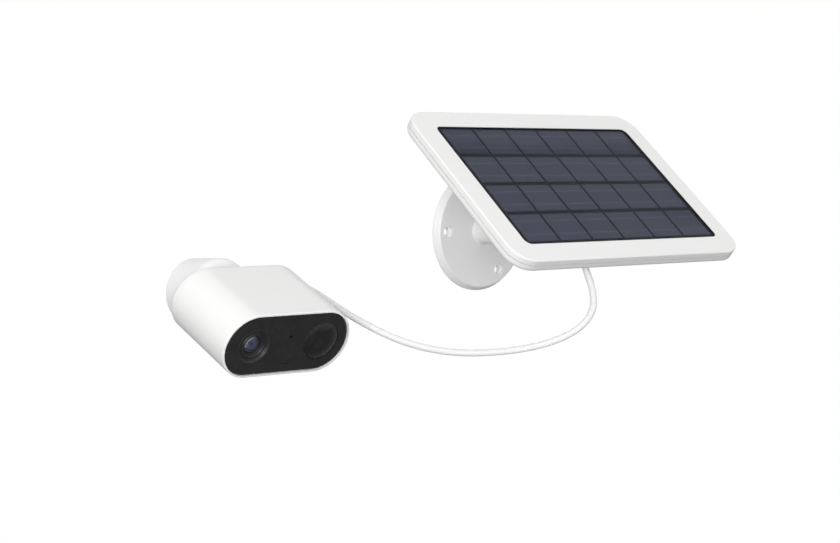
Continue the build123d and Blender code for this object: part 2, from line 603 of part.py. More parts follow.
# Power button: a cap in the cover's well, with the switch and return spring behind it.
with BuildPart() as power_button:
    disc(camera, camera_rear - 0.2, 2.6, button_r, [(button_x, 0)])
    disc(camera, floor_top + 0.2, 0.8, button_r + 0.8, [(button_x, 0)])
    disc(camera, floor_top + 1.0, 1.4, 1.2, [(button_x, 0)])
save(power_button, "power_button")

with BuildPart() as button_spring:
    disc(camera, floor_top + 1.05, 2.5, 2.6, [(button_x, 0)])
    disc(camera, floor_top + 1.05, 2.5, 2.1, [(button_x, 0)], mode=Mode.SUBTRACT)
save(button_spring, "button_spring")

with BuildPart() as button_switch:
    slab(camera, floor_top + 3.6, 1.8, 10.0, 12.0, 1.0, x=button_x)
save(button_switch, "button_switch")

# Ball clamp, its screws and the liner that grips the camera's ball.
with BuildPart() as ball_clamp:
    turned(camera, [
        (0, 1.0), (clamp_r, 1.0), (clamp_r, 3.4), (camera_seat_r + 1.5, 3.4),
        (camera_seat_r + 1.3, 5.0), (8.2, 8.2), (6.0, clamp_roof), (0, clamp_roof),
    ])
    with Locations(camera.origin):
        Sphere(camera_seat_r, mode=Mode.SUBTRACT)
    disc(camera, 1.0, 2.4, 0.9, clamp_screw_places, mode=Mode.SUBTRACT)
save(ball_clamp, "ball_clamp")

with BuildPart() as clamp_screws:
    disc(camera, -1.0, 4.4, 0.8, clamp_screw_places)
    disc(camera, 3.4, 1.0, 1.5, clamp_screw_places)
save(clamp_screws, "clamp_screws")

with BuildPart() as camera_ball_liner:
    ball_ring(camera, camera_liner_inner, camera_liner_outer, camera_mouth, 150)
save(camera_ball_liner, "camera_ball_liner")

# Camera's wall base: a screwed plate, the drum that snaps over it, the ball stud and its nut.
plate_places = [(-plate_screw_spacing / 2, 0.0), (plate_screw_spacing / 2, 0.0)]
with BuildPart() as camera_wall_plate:
    turned(base_wall_plane, [
        (0, 0), (plate_waist_r, 0), (plate_waist_r, 2.4), (plate_rim_r, 2.4),
        (plate_rim_r, 3.4), (plate_rim_r - 0.6, plate_thick), (0, plate_thick),
    ])
    disc(base_wall_plane, 0, plate_thick, plate_hole_r, plate_places, mode=Mode.SUBTRACT)
    disc(base_wall_plane, plate_thick - 2.0, 2.0, 3.8, plate_places, mode=Mode.SUBTRACT)
save(camera_wall_plate, "camera_wall_plate")

drum_front = base_length - 2.5
with BuildPart() as camera_base_drum:
    turned(base_wall_plane, [
        (plate_waist_r + running, 0.6), (plate_waist_r + running, 2.3), (base_back_r - base_wall, 2.3),
        (base_r - base_wall, drum_front), (3.05, drum_front), (3.05, base_length),
        (base_r - 4.0, base_length), (base_r - 1.9, base_length - 0.6),
        (base_r - 0.6, base_length - 1.9), (base_r, base_length - 4.0), (base_back_r, 0.6),
    ])
save(camera_base_drum, "camera_base_drum")

stud_r, stud_flange_r, stud_flange = 3.0, 8.0, 1.5
camera_neck_h = camera_arm_reach - camera_ball_r * math.cos(math.asin(camera_neck_r / camera_ball_r)) + 0.4
with BuildPart() as camera_ball_stud:
    turned(base_wall_plane, [
        (0, 22.0), (stud_r - 0.4, 22.0), (stud_r, 22.4), (stud_r, base_length), (stud_flange_r, base_length),
        (stud_flange_r, base_length + stud_flange - 0.4), (stud_flange_r - 0.4, base_length + stud_flange),
        (camera_neck_r + 0.8, base_length + stud_flange), (camera_neck_r, base_length + stud_flange + 0.8),
        (camera_neck_r, camera_neck_h), (0, camera_neck_h),
    ])
    with Locations(stud_end.origin):
        Sphere(camera_ball_r)
save(camera_ball_stud, "camera_ball_stud")

nut_thick = 4.4
with BuildPart() as stud_nut:
    with BuildSketch(base_wall_plane.offset(drum_front - nut_thick)):
        RegularPolygon(5.77, 6)
        Circle(stud_r, mode=Mode.SUBTRACT)
    extrude(amount=nut_thick)
save(stud_nut, "stud_nut")

# Plug in the camera's socket: a metal shell, a right-angle body and its tapered relief.
plug_x = usb_x
plug_end = usb_x + plug_length / 2
relief_h = camera_rear - plug_depth / 2
with BuildPart() as plug_shell:
    slab(camera, camera_rear, 6.0, 2.4, 8.2, 1.1, x=plug_x)
    slab(camera, camera_rear + 1.0, 5.0, 1.6, 7.4, 0.7, x=plug_x, mode=Mode.SUBTRACT)
save(plug_shell, "plug_shell")

relief_axis = Plane(origin=point(camera, plug_end, 0, relief_h), x_dir=camera.y_dir, z_dir=camera.x_dir)
with BuildPart() as plug_body:
    slab(camera, camera_rear - plug_depth, plug_depth, plug_length, 12.4, 2.4, x=plug_x)
    fillet(plug_body.faces().sort_by(Axis(camera.origin, camera.z_dir))[0].edges(), 1.6)
    turned(relief_axis, [(0, -0.5), (3.4, -0.5), (3.4, 1.2), (2.6, relief_length), (0, relief_length)])
    for k in range(3):
        groove = 2.2 + 1.9 * k
        turned(relief_axis, [(2.45, groove), (3.6, groove), (3.6, groove + 0.8), (2.45, groove + 0.8)],
               mode=Mode.SUBTRACT)
    disc(relief_axis, 1.5, relief_length - 1.5, cable_r, mode=Mode.SUBTRACT)
save(plug_body, "plug_body")

# Charging cable: out of the gland down the panel's back, a hanging loop, then up to the plug.
cable_start = point(wall_out, 0, 0, gland_length)
cable_lead = point(wall_out, 0, 0, gland_length + 12.5)
cable_end = point(relief_axis, 0, 0, relief_length)
cable_tail = point(relief_axis, 0, 0, relief_length + 10.5)
cable_route = [
    cable_start,
    cable_lead,
    Vector(-24.8, -121.8, -17.4),
    Vector(-21.2, -124.2, -29.6),
    Vector(-20.0, -123.2, -41.0),
    Vector(-24.4, -117.0, -51.2),
    Vector(-34.8, -107.0, -59.0),
    Vector(-50.0, -96.6, -63.6),
    Vector(-68.0, -87.6, -65.4),
    Vector(-88.0, -78.2, -65.2),
    Vector(-108.0, -69.0, -61.0),
    Vector(-124.5, -60.6, -54.2),
    Vector(-139.5, -48.6, -44.2),
    Vector(-152.5, -38.4, -33.4),
    cable_tail,
    cable_end,
]
runs = [b - a for a, b in zip(cable_route, cable_route[1:])]
cable_radii = [
    0.45 * min(a.length, b.length) / math.tan(math.radians(a.get_angle(b)) / 2)
    for a, b in zip(runs, runs[1:])
]
with BuildPart() as charging_cable:
    with BuildLine() as route:
        FilletPolyline(*cable_route, radius=cable_radii)
    with BuildSketch(Plane(origin=route.wires()[0] @ 0, z_dir=route.wires()[0] % 0)):
        Circle(cable_r)
    sweep(path=route.wires()[0])
save(charging_cable, "charging_cable")

cable_length = route.wires()[0].length
print("cable length", round(cable_length, 1), "runs", [round(r.length, 1) for r in runs])
print("cable bend radii", [round(r, 1) for r in cable_radii])
print("cable volume share", round(charging_cable.part.volume / (math.pi * cable_r**2 * cable_length), 4))
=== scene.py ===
import json
import math

import bmesh
import bpy
from mathutils import Matrix, Vector

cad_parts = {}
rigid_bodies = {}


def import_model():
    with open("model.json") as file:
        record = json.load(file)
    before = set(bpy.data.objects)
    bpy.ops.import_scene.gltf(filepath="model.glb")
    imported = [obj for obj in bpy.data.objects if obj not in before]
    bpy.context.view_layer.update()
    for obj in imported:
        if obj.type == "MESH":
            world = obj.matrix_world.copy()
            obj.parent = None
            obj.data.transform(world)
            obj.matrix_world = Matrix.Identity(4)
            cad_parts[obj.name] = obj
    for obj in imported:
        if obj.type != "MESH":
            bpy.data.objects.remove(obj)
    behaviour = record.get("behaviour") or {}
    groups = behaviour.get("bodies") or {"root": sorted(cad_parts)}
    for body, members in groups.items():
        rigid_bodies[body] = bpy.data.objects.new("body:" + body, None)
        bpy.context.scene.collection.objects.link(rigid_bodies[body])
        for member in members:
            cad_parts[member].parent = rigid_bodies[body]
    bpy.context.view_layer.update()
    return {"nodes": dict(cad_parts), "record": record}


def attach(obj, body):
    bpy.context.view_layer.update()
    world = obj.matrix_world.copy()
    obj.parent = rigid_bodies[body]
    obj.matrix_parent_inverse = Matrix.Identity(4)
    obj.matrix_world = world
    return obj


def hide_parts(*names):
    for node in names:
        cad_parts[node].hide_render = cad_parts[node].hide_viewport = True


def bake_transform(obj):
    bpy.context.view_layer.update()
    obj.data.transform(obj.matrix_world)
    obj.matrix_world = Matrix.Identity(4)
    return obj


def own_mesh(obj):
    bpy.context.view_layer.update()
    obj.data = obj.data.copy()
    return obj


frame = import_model()
nodes = frame["nodes"]
print("frame loaded:", len(nodes), "nodes")

# ---- camera: set to the angle the object is shown from, with a slight lean to one side
cameraSet = {
    "place": (-0.7898, -0.8659, 0.0613),
    "azimuth": -40.584,
    "elevation": 4.301,
    "roll": 0.711,
    "lens": 78.58,
}


def makeCamera(view):
    azimuth, elevation, roll = (math.radians(view[k]) for k in ("azimuth", "elevation", "roll"))
    back = Vector((
        math.sin(azimuth) * math.cos(elevation),
        -math.cos(azimuth) * math.cos(elevation),
        math.sin(elevation),
    ))
    level = Vector((math.cos(azimuth), math.sin(azimuth), 0))
    down = (-back).cross(level)
    right = level * math.cos(roll) - down * math.sin(roll)
    under = level * math.sin(roll) + down * math.cos(roll)
    cameraData = bpy.data.cameras.new("viewCamera")
    cameraData.lens = view["lens"]
    cameraData.sensor_width = 36
    cameraData.clip_start = 0.02
    camera = bpy.data.objects.new("viewCamera", cameraData)
    turn = Matrix((right, -under, back)).transposed().to_4x4()
    camera.matrix_world = Matrix.Translation(view["place"]) @ turn
    bpy.context.scene.collection.objects.link(camera)
    bpy.context.scene.camera = camera


makeCamera(cameraSet)
print("camera placed")


# ---- node helpers
def addNode(tree, kind, settings=None, values=None):
    node = tree.nodes.new(kind)
    for name, value in (settings or {}).items():
        setattr(node, name, value)
    for name, value in (values or {}).items():
        node.inputs[name].default_value = value
    return node


def startGroup(name, inputs, outputs):
    group = bpy.data.node_groups.new(name, "ShaderNodeTree")
    for label, kind, value in inputs:
        socket = group.interface.new_socket(name=label, in_out="INPUT", socket_type=kind)
        socket.default_value = value
    for label, kind in outputs:
        group.interface.new_socket(name=label, in_out="OUTPUT", socket_type=kind)
    return group, addNode(group, "NodeGroupInput"), addNode(group, "NodeGroupOutput")


def useGroup(tree, group, values=None):
    return addNode(tree, "ShaderNodeGroup", {"node_tree": group}, values)


def mathNode(tree, operation, first, second=None, clamp=False):
    node = addNode(tree, "ShaderNodeMath", {"operation": operation, "use_clamp": clamp})
    for slot, value in enumerate((first, second)):
        if value is None:
            continue
        if isinstance(value, (int, float)):
            node.inputs[slot].default_value = value
        else:
            tree.links.new(value, node.inputs[slot])
    return node.outputs[0]


def spread(tree, value, low, high):
    node = addNode(tree, "ShaderNodeMapRange", values={"To Min": low, "To Max": high})
    tree.links.new(value, node.inputs["Value"])
    return node.outputs["Result"]


def tint(tree, mask, first, second):
    node = addNode(tree, "ShaderNodeMix", {"data_type": "RGBA"})
    for slot, value in ((6, first), (7, second)):
        if hasattr(value, "is_linked"):
            tree.links.new(value, node.inputs[slot])
        else:
            node.inputs[slot].default_value = (*value, 1)
    tree.links.new(mask, node.inputs[0])
    return node.outputs[2]


# ---- shared effects, each built once
def buildMouldGrain():
    group, entry, leave = startGroup(
        "mouldGrain",
        [("Grain Scale", "NodeSocketFloat", 2600.0), ("Flow Scale", "NodeSocketFloat", 14.0)],
        [("Height", "NodeSocketFloat"), ("Shade", "NodeSocketFloat")],
    )
    place = addNode(group, "ShaderNodeTexCoord").outputs["Object"]
    pits = addNode(group, "ShaderNodeTexVoronoi", {"feature": "SMOOTH_F1"}, {"Smoothness": 0.7})
    fine = addNode(group, "ShaderNodeTexNoise", values={"Detail": 3.0, "Roughness": 0.55})
    broad = addNode(group, "ShaderNodeTexNoise", values={"Detail": 4.0, "Distortion": 0.4})
    for node in (pits, fine, broad):
        group.links.new(place, node.inputs["Vector"])
    for node in (pits, fine):
        group.links.new(entry.outputs["Grain Scale"], node.inputs["Scale"])
    group.links.new(entry.outputs["Flow Scale"], broad.inputs["Scale"])
    shallow = mathNode(group, "MULTIPLY", pits.outputs["Distance"], 0.6)
    height = mathNode(group, "ADD", shallow, fine.outputs["Fac"])
    group.links.new(height, leave.inputs["Height"])
    group.links.new(broad.outputs["Fac"], leave.inputs["Shade"])
    return group


def buildDustFilm():
    group, entry, leave = startGroup(
        "dustFilm",
        [("Amount", "NodeSocketFloat", 0.3), ("Patch Scale", "NodeSocketFloat", 60.0)],
        [("Mask", "NodeSocketFloat")],
    )
    place = addNode(group, "ShaderNodeTexCoord").outputs["Object"]
    facing = addNode(group, "ShaderNodeSeparateXYZ")
    group.links.new(addNode(group, "ShaderNodeNewGeometry").outputs["Normal"], facing.inputs[0])
    upward = spread(group, facing.outputs["Z"], -0.6, 1.0)  # settles on faces that look up
    patches = addNode(group, "ShaderNodeTexNoise", values={"Detail": 6.0, "Roughness": 0.65})
    specks = addNode(group, "ShaderNodeTexNoise", values={"Scale": 1900.0, "Detail": 2.0})
    group.links.new(place, patches.inputs["Vector"])
    group.links.new(place, specks.inputs["Vector"])
    group.links.new(entry.outputs["Patch Scale"], patches.inputs["Scale"])
    film = mathNode(group, "MULTIPLY", patches.outputs["Fac"], specks.outputs["Fac"])
    film = mathNode(group, "MULTIPLY", film, mathNode(group, "MAXIMUM", upward, 0.0))
    group.links.new(mathNode(group, "MULTIPLY", film, entry.outputs["Amount"], True), leave.inputs["Mask"])
    return group


def buildTouchMarks():
    group, entry, leave = startGroup(
        "touchMarks",
        [("Mark Scale", "NodeSocketFloat", 90.0)],
        [("Mask", "NodeSocketFloat")],
    )
    place = addNode(group, "ShaderNodeTexCoord").outputs["Object"]
    smear = addNode(group, "ShaderNodeTexNoise", values={"Detail": 5.0, "Roughness": 0.7, "Distortion": 1.4})
    group.links.new(place, smear.inputs["Vector"])
    group.links.new(entry.outputs["Mark Scale"], smear.inputs["Scale"])
    ramp = addNode(group, "ShaderNodeValToRGB")
    ramp.color_ramp.elements[0].position = 0.42
    ramp.color_ramp.elements[1].position = 0.72
    group.links.new(smear.outputs["Fac"], ramp.inputs["Fac"])
    group.links.new(ramp.outputs["Color"], leave.inputs["Mask"])
    return group


def buildBrushed():
    group, entry, leave = startGroup(
        "brushedLines",
        [("Line Scale", "NodeSocketFloat", 900.0), ("Stretch", "NodeSocketVector", (1.0, 1.0, 0.03))],
        [("Height", "NodeSocketFloat")],
    )
    place = addNode(group, "ShaderNodeTexCoord").outputs["Object"]
    squeeze = addNode(group, "ShaderNodeVectorMath", {"operation": "MULTIPLY"})
    lines = addNode(group, "ShaderNodeTexNoise", values={"Detail": 4.0, "Roughness": 0.6})
    group.links.new(place, squeeze.inputs[0])
    group.links.new(entry.outputs["Stretch"], squeeze.inputs[1])
    group.links.new(squeeze.outputs[0], lines.inputs["Vector"])
    group.links.new(entry.outputs["Line Scale"], lines.inputs["Scale"])
    group.links.new(lines.outputs["Fac"], leave.inputs["Height"])
    return group


mouldGrain = buildMouldGrain()
dustFilm = buildDustFilm()
touchMarks = buildTouchMarks()
brushedLines = buildBrushed()
print("shared effects built")


# ---- materials
def startMaterial(name, values=None):
    material = bpy.data.materials.new(name)
    material.use_nodes = True
    tree = material.node_tree
    shader = tree.nodes["Principled BSDF"]
    for label, value in (values or {}).items():
        shader.inputs[label].default_value = value
    return material, tree, shader


def addBump(tree, shader, height, strength, distance):
    bump = addNode(tree, "ShaderNodeBump", values={"Strength": strength, "Distance": distance})
    tree.links.new(height, bump.inputs["Height"])
    tree.links.new(bump.outputs["Normal"], shader.inputs["Normal"])


def mouldedPlastic(name, look):
    material, tree, shader = startMaterial(name, {"IOR": look.get("ior", 1.46)})
    grain = useGroup(tree, mouldGrain, {"Grain Scale": look["grainScale"], "Flow Scale": look["flowScale"]})
    dust = useGroup(tree, dustFilm, {"Amount": look["dust"]})
    body = tint(tree, grain.outputs["Shade"], look["colour"], look["shadeColour"])
    body = tint(tree, dust.outputs["Mask"], body, look["dustColour"])
    tree.links.new(body, shader.inputs["Base Color"])
    low, high = look["roughness"]
    tree.links.new(spread(tree, grain.outputs["Shade"], low, high), shader.inputs["Roughness"])
    addBump(tree, shader, grain.outputs["Height"], look["grainStrength"], look["grainDepth"])
    return material


whiteShellLook = {
    "colour": (0.83, 0.83, 0.825),
    "shadeColour": (0.805, 0.805, 0.80),
    "dustColour": (0.62, 0.60, 0.57),
    "dust": 0.07,
    "roughness": (0.40, 0.50),
    "grainScale": 2400.0,
    "flowScale": 12.0,
    "grainStrength": 0.16,
    "grainDepth": 0.00001,
}
whiteBezelLook = dict(
    whiteShellLook,
    colour=(0.84, 0.84, 0.835),
    shadeColour=(0.815, 0.815, 0.81),
    roughness=(0.34, 0.44),
    grainScale=3000.0,
)
bracketLook = dict(
    whiteShellLook,
    colour=(0.87, 0.87, 0.87),
    shadeColour=(0.85, 0.85, 0.845),
    roughness=(0.44, 0.55),
    grainScale=1700.0,
    grainStrength=0.3,
)
plugLook = dict(
    whiteShellLook,
    colour=(0.80, 0.80, 0.795),
    shadeColour=(0.77, 0.77, 0.76),
    roughness=(0.5, 0.6),
)
innerBlackLook = {
    "colour": (0.022, 0.022, 0.024),
    "shadeColour": (0.014, 0.014, 0.015),
    "dustColour": (0.12, 0.12, 0.12),
    "dust": 0.12,
    "roughness": (0.38, 0.5),
    "grainScale": 2100.0,
    "flowScale": 30.0,
    "grainStrength": 0.3,
    "grainDepth": 0.00002,
}
linerLook = dict(
    innerBlackLook,
    colour=(0.30, 0.30, 0.31),
    shadeColour=(0.25, 0.25, 0.26),
    roughness=(0.3, 0.4),
)
componentLook = dict(innerBlackLook, colour=(0.03, 0.03, 0.033), roughness=(0.45, 0.6))
rubberLook = dict(
    innerBlackLook,
    colour=(0.11, 0.11, 0.115),
    shadeColour=(0.075, 0.075, 0.08),
    roughness=(0.7, 0.82),
    grainScale=1300.0,
)

# polished face: deep black lacquer with faint wiping marks and a few dust specks
polishedLook = {
    "colour": (0.0125, 0.0125, 0.0135),
    "markColour": (0.020, 0.020, 0.022),
    "roughness": (0.16, 0.26),
    "markScale": 70.0,
    "dust": 0.10,
}


def polishedBlack(name, look):
    material, tree, shader = startMaterial(name, {"IOR": 1.42, "Coat Weight": 0.15, "Coat Roughness": 0.06})
    marks = useGroup(tree, touchMarks, {"Mark Scale": look["markScale"]})
    dust = useGroup(tree, dustFilm, {"Amount": look["dust"], "Patch Scale": 160.0})
    body = tint(tree, marks.outputs["Mask"], look["colour"], look["markColour"])
    tree.links.new(tint(tree, dust.outputs["Mask"], body, (0.22, 0.22, 0.22)), shader.inputs["Base Color"])
    tree.links.new(spread(tree, marks.outputs["Mask"], *look["roughness"]), shader.inputs["Roughness"])
    return material


# detector dome: dark infrared-passing plastic with faint moulded facets
domeLook = {
    "colour": (0.006, 0.006, 0.007),
    "markColour": (0.018, 0.018, 0.02),
    "markScale": 120.0,
    "facetScale": 420.0,
    "facetStrength": 0.06,
    "roughness": (0.26, 0.36),
}


def detectorPlastic(name, look):
    material, tree, shader = startMaterial(name, {"IOR": 1.45})
    place = addNode(tree, "ShaderNodeTexCoord").outputs["Object"]
    facets = addNode(
        tree, "ShaderNodeTexVoronoi", {"feature": "DISTANCE_TO_EDGE"},
        {"Scale": look["facetScale"], "Randomness": 0.12},
    )
    tree.links.new(place, facets.inputs["Vector"])
    marks = useGroup(tree, touchMarks, {"Mark Scale": look["markScale"]})
    body = tint(tree, marks.outputs["Mask"], look["colour"], look["markColour"])
    tree.links.new(body, shader.inputs["Base Color"])
    tree.links.new(spread(tree, marks.outputs["Mask"], *look["roughness"]), shader.inputs["Roughness"])
    ridge = mathNode(tree, "SMOOTH_MIN", facets.outputs["Distance"], 0.05)
    addBump(tree, shader, ridge, look["facetStrength"], 0.0004)
    return material


# solar cells: places are read in the panel's own plane
cellLook = {
    "tilt": 50.84,
    "centreAcross": 0.0018,
    "centreAlong": 0.04728,
    "columnPitch": 0.0262,
    "rowPitch": 0.0254,
    "barPlace": 0.22,  # shares of a row's pitch
    "barWidth": 0.028,
    "barPrint": 0.75,
    "fingerPitch": 0.00131,
    "fingerWidth": 0.09,  # share of the pitch
    "fingerPrint": 0.30,
    "colour": (0.034, 0.040, 0.070),
    "altColour": (0.042, 0.047, 0.079),
    "printColour": (0.085, 0.087, 0.115),
    "roughness": (0.34, 0.46),
}


def siliconCells(name, look):
    material, tree, shader = startMaterial(name, {"IOR": 1.5, "Specular IOR Level": 0.2})
    lean = math.radians(look["tilt"])
    place = addNode(tree, "ShaderNodeTexCoord").outputs["Object"]
    across = addNode(tree, "ShaderNodeSeparateXYZ")
    tree.links.new(place, across.inputs[0])
    along = addNode(tree, "ShaderNodeVectorMath", {"operation": "DOT_PRODUCT"})
    along.inputs[1].default_value = (0, math.sin(lean), math.cos(lean))
    tree.links.new(place, along.inputs[0])
    rows = mathNode(tree, "ADD", along.outputs["Value"], look["centreAlong"])
    rows = mathNode(tree, "DIVIDE", rows, look["rowPitch"])
    columns = mathNode(tree, "SUBTRACT", across.outputs["X"], look["centreAcross"])
    columns = mathNode(tree, "DIVIDE", columns, look["columnPitch"])
    index = addNode(tree, "ShaderNodeCombineXYZ")
    tree.links.new(mathNode(tree, "FLOOR", columns), index.inputs[0])
    tree.links.new(mathNode(tree, "FLOOR", rows), index.inputs[1])
    batch = addNode(tree, "ShaderNodeTexWhiteNoise", {"noise_dimensions": "3D"})
    tree.links.new(index.outputs[0], batch.inputs["Vector"])
    fromMiddle = mathNode(tree, "ABSOLUTE", mathNode(tree, "SUBTRACT", mathNode(tree, "FRACT", rows), 0.5))
    offBar = mathNode(tree, "ABSOLUTE", mathNode(tree, "SUBTRACT", fromMiddle, look["barPlace"]))
    busbar = mathNode(tree, "LESS_THAN", offBar, look["barWidth"] / 2)
    finger = mathNode(tree, "FRACT", mathNode(tree, "DIVIDE", across.outputs["X"], look["fingerPitch"]))
    finger = mathNode(tree, "LESS_THAN", finger, look["fingerWidth"])
    printed = mathNode(
        tree, "MAXIMUM",
        mathNode(tree, "MULTIPLY", busbar, look["barPrint"]),
        mathNode(tree, "MULTIPLY", finger, look["fingerPrint"]),
    )
    crystal = addNode(tree, "ShaderNodeTexNoise", values={"Scale": 240.0, "Detail": 5.0})
    tree.links.new(place, crystal.inputs["Vector"])
    shade = mathNode(
        tree, "ADD",
        mathNode(tree, "MULTIPLY", batch.outputs["Value"], 0.6),
        mathNode(tree, "MULTIPLY", crystal.outputs["Fac"], 0.5),
    )
    silicon = tint(tree, shade, look["colour"], look["altColour"])
    tree.links.new(tint(tree, printed, silicon, look["printColour"]), shader.inputs["Base Color"])
    tree.links.new(spread(tree, crystal.outputs["Fac"], *look["roughness"]), shader.inputs["Roughness"])
    addBump(tree, shader, printed, 0.25, 0.00004)
    return material


def boardMaterial(name, colour, traceColour, traceScale, gloss=0.5):
    material, tree, shader = startMaterial(name, {"IOR": 1.5, "Specular IOR Level": gloss})
    place = addNode(tree, "ShaderNodeTexCoord").outputs["Object"]
    weave = addNode(
        tree, "ShaderNodeTexWave", {"wave_type": "BANDS", "bands_direction": "DIAGONAL"}, {"Scale": 700.0}
    )
    traces = addNode(
        tree, "ShaderNodeTexBrick", {"offset": 0.35}, {"Scale": traceScale, "Mortar Size": 0.03, "Bias": -0.2}
    )
    for node in (weave, traces):
        tree.links.new(place, node.inputs["Vector"])
    body = tint(tree, traces.outputs["Fac"], colour, traceColour)
    tree.links.new(body, shader.inputs["Base Color"])
    tree.links.new(spread(tree, weave.outputs["Fac"], 0.3, 0.42), shader.inputs["Roughness"])
    addBump(tree, shader, weave.outputs["Fac"], 0.08, 0.00003)
    return material


def metalMaterial(name, colour, roughness, stretch, lineScale):
    material, tree, shader = startMaterial(name, {"Metallic": 1.0})
    lines = useGroup(tree, brushedLines, {"Line Scale": lineScale, "Stretch": stretch})
    darker = tuple(c * 0.82 for c in colour)
    tree.links.new(tint(tree, lines.outputs["Height"], colour, darker), shader.inputs["Base Color"])
    tree.links.new(spread(tree, lines.outputs["Height"], *roughness), shader.inputs["Roughness"])
    addBump(tree, shader, lines.outputs["Height"], 0.12, 0.00003)
    return material


def glassMaterial(name, values, marks):
    material, tree, shader = startMaterial(name, values)
    smear = useGroup(tree, touchMarks, {"Mark Scale": marks["scale"]})
    tree.links.new(spread(tree, smear.outputs["Mask"], *marks["roughness"]), shader.inputs["Roughness"])
    return material


def sleeveMaterial(name):
    material, tree, shader = startMaterial(name, {"IOR": 1.5, "Coat Weight": 0.3})
    grain = useGroup(tree, mouldGrain, {"Grain Scale": 600.0, "Flow Scale": 50.0})
    body = tint(tree, grain.outputs["Shade"], (0.05, 0.22, 0.42), (0.04, 0.17, 0.34))
    tree.links.new(body, shader.inputs["Base Color"])
    tree.links.new(spread(tree, grain.outputs["Shade"], 0.2, 0.34), shader.inputs["Roughness"])
    addBump(tree, shader, grain.outputs["Height"], 0.1, 0.00004)
    return material


# cable jacket: soft matt skin with fine draw lines
jacketLook = {"colour": (0.87, 0.87, 0.865), "shadeColour": (0.845, 0.845, 0.84), "roughness": (0.42, 0.52)}


def jacketMaterial(name, look):
    material, tree, shader = startMaterial(name, {"IOR": 1.45, "Sheen Weight": 0.08})
    grain = useGroup(tree, mouldGrain, {"Grain Scale": 900.0, "Flow Scale": 40.0})
    dust = useGroup(tree, dustFilm, {"Amount": 0.03})
    body = tint(tree, grain.outputs["Shade"], look["colour"], look["shadeColour"])
    tree.links.new(tint(tree, dust.outputs["Mask"], body, (0.6, 0.58, 0.55)), shader.inputs["Base Color"])
    tree.links.new(spread(tree, grain.outputs["Shade"], *look["roughness"]), shader.inputs["Roughness"])
    addBump(tree, shader, grain.outputs["Height"], 0.05, 0.000004)
    return material


finishes = {
    "white_shell": mouldedPlastic("whiteShell", whiteShellLook),
    "white_bezel": mouldedPlastic("whiteBezel", whiteBezelLook),
    "bracket_white": mouldedPlastic("bracketWhite", bracketLook),
    "plug_white": mouldedPlastic("plugWhite", plugLook),
    "inner_black": mouldedPlastic("innerBlack", innerBlackLook),
    "liner": mouldedPlastic("linerGrey", linerLook),
    "components": mouldedPlastic("componentBodies", componentLook),
    "rubber_grey": mouldedPlastic("greyRubber", rubberLook),
    "gloss_black": polishedBlack("faceLacquer", polishedLook),
    "dark_detector": detectorPlastic("detectorDome", domeLook),
    "silicon": siliconCells("siliconCells", cellLook),
    "fibreglass": boardMaterial("blackLaminate", (0.006, 0.007, 0.012), (0.008, 0.009, 0.014), 180.0, 0.1),
    "green_board": boardMaterial("greenBoard", (0.012, 0.11, 0.035), (0.03, 0.20, 0.07), 420.0),
    "steel": metalMaterial("platedSteel", (0.62, 0.62, 0.62), (0.24, 0.38), (1.0, 0.05, 1.0), 1400.0),
    "tin": metalMaterial("tinnedSteel", (0.70, 0.70, 0.68), (0.28, 0.42), (0.06, 1.0, 1.0), 1100.0),
    "gold": metalMaterial("platedSheet", (0.83, 0.62, 0.26), (0.22, 0.32), (0.2, 1.0, 1.0), 1600.0),
    "clear_glass": glassMaterial(
        "coverGlass",
        {"Base Color": (0.02, 0.022, 0.03, 1), "Alpha": 0.05, "IOR": 1.5},
        {"scale": 22.0, "roughness": (0.10, 0.20)},
    ),
    "lens_glass": glassMaterial(
        "coatedLens",
        {"Base Color": (0.74, 0.80, 1.0, 1), "Transmission Weight": 1.0, "IOR": 1.62},
        {"scale": 200.0, "roughness": (0.01, 0.04)},
    ),
    "light_plastic": glassMaterial(
        "lightGuide",
        {"Base Color": (0.03, 0.03, 0.034, 1), "Transmission Weight": 0.2, "IOR": 1.49},
        {"scale": 300.0, "roughness": (0.12, 0.2)},
    ),
    "cell_wrap": sleeveMaterial("cellSleeve"),
    "cable_white": jacketMaterial("cableJacket", jacketLook),
}
print("materials built:", len(finishes))

# ---- every CAD node gets its slot's finish
slotOf = {part["node"]: part["material_slot"] for part in frame["record"]["subparts"]}
for name, node in nodes.items():
    node.data.materials.clear()
    node.data.materials.append(finishes[slotOf[name]])
    for face in node.data.polygons:
        face.material_index = 0
print("finishes given to", len(nodes), "nodes")

# ---- charging cable: one smooth route, cut into lengths
cableSet = {
    "diameter": 0.004,
    "sides": 20,
    "ringStep": 0.0011,
    "lengths": (0.031, 0.060, 0.040, 0.037, 0.041, 0.034),
    "bodies": ("panel", "panel_liner", "panel_arm", "wall_parts", "camera_base", "camera_liner", "camera"),
    "names": ("cableAtPanel", "cableTilt", "cableArm", "cableWall", "cableCameraTilt", "cableAtCamera"),
}
# metres, from the gland's tip down the loop and up to the plug's relief
cableRoute = [
    (-0.0270, -0.10794, 0.00257),
    (-0.0270, -0.11763, -0.00533),
    (-0.0248, -0.1218, -0.0174),
    (-0.0212, -0.1242, -0.0296),
    (-0.0200, -0.1232, -0.0410),
    (-0.0244, -0.1170, -0.0512),
    (-0.0348, -0.1070, -0.0590),
    (-0.0500, -0.0966, -0.0636),
    (-0.0680, -0.0876, -0.0654),
    (-0.0880, -0.0782, -0.0652),
    (-0.1080, -0.0690, -0.0610),
    (-0.1245, -0.0606, -0.0542),
    (-0.1395, -0.0486, -0.0442),
    (-0.1525, -0.0384, -0.0334),
    (-0.1630, -0.03448, -0.02623),
    (-0.1735, -0.03448, -0.02623),
]


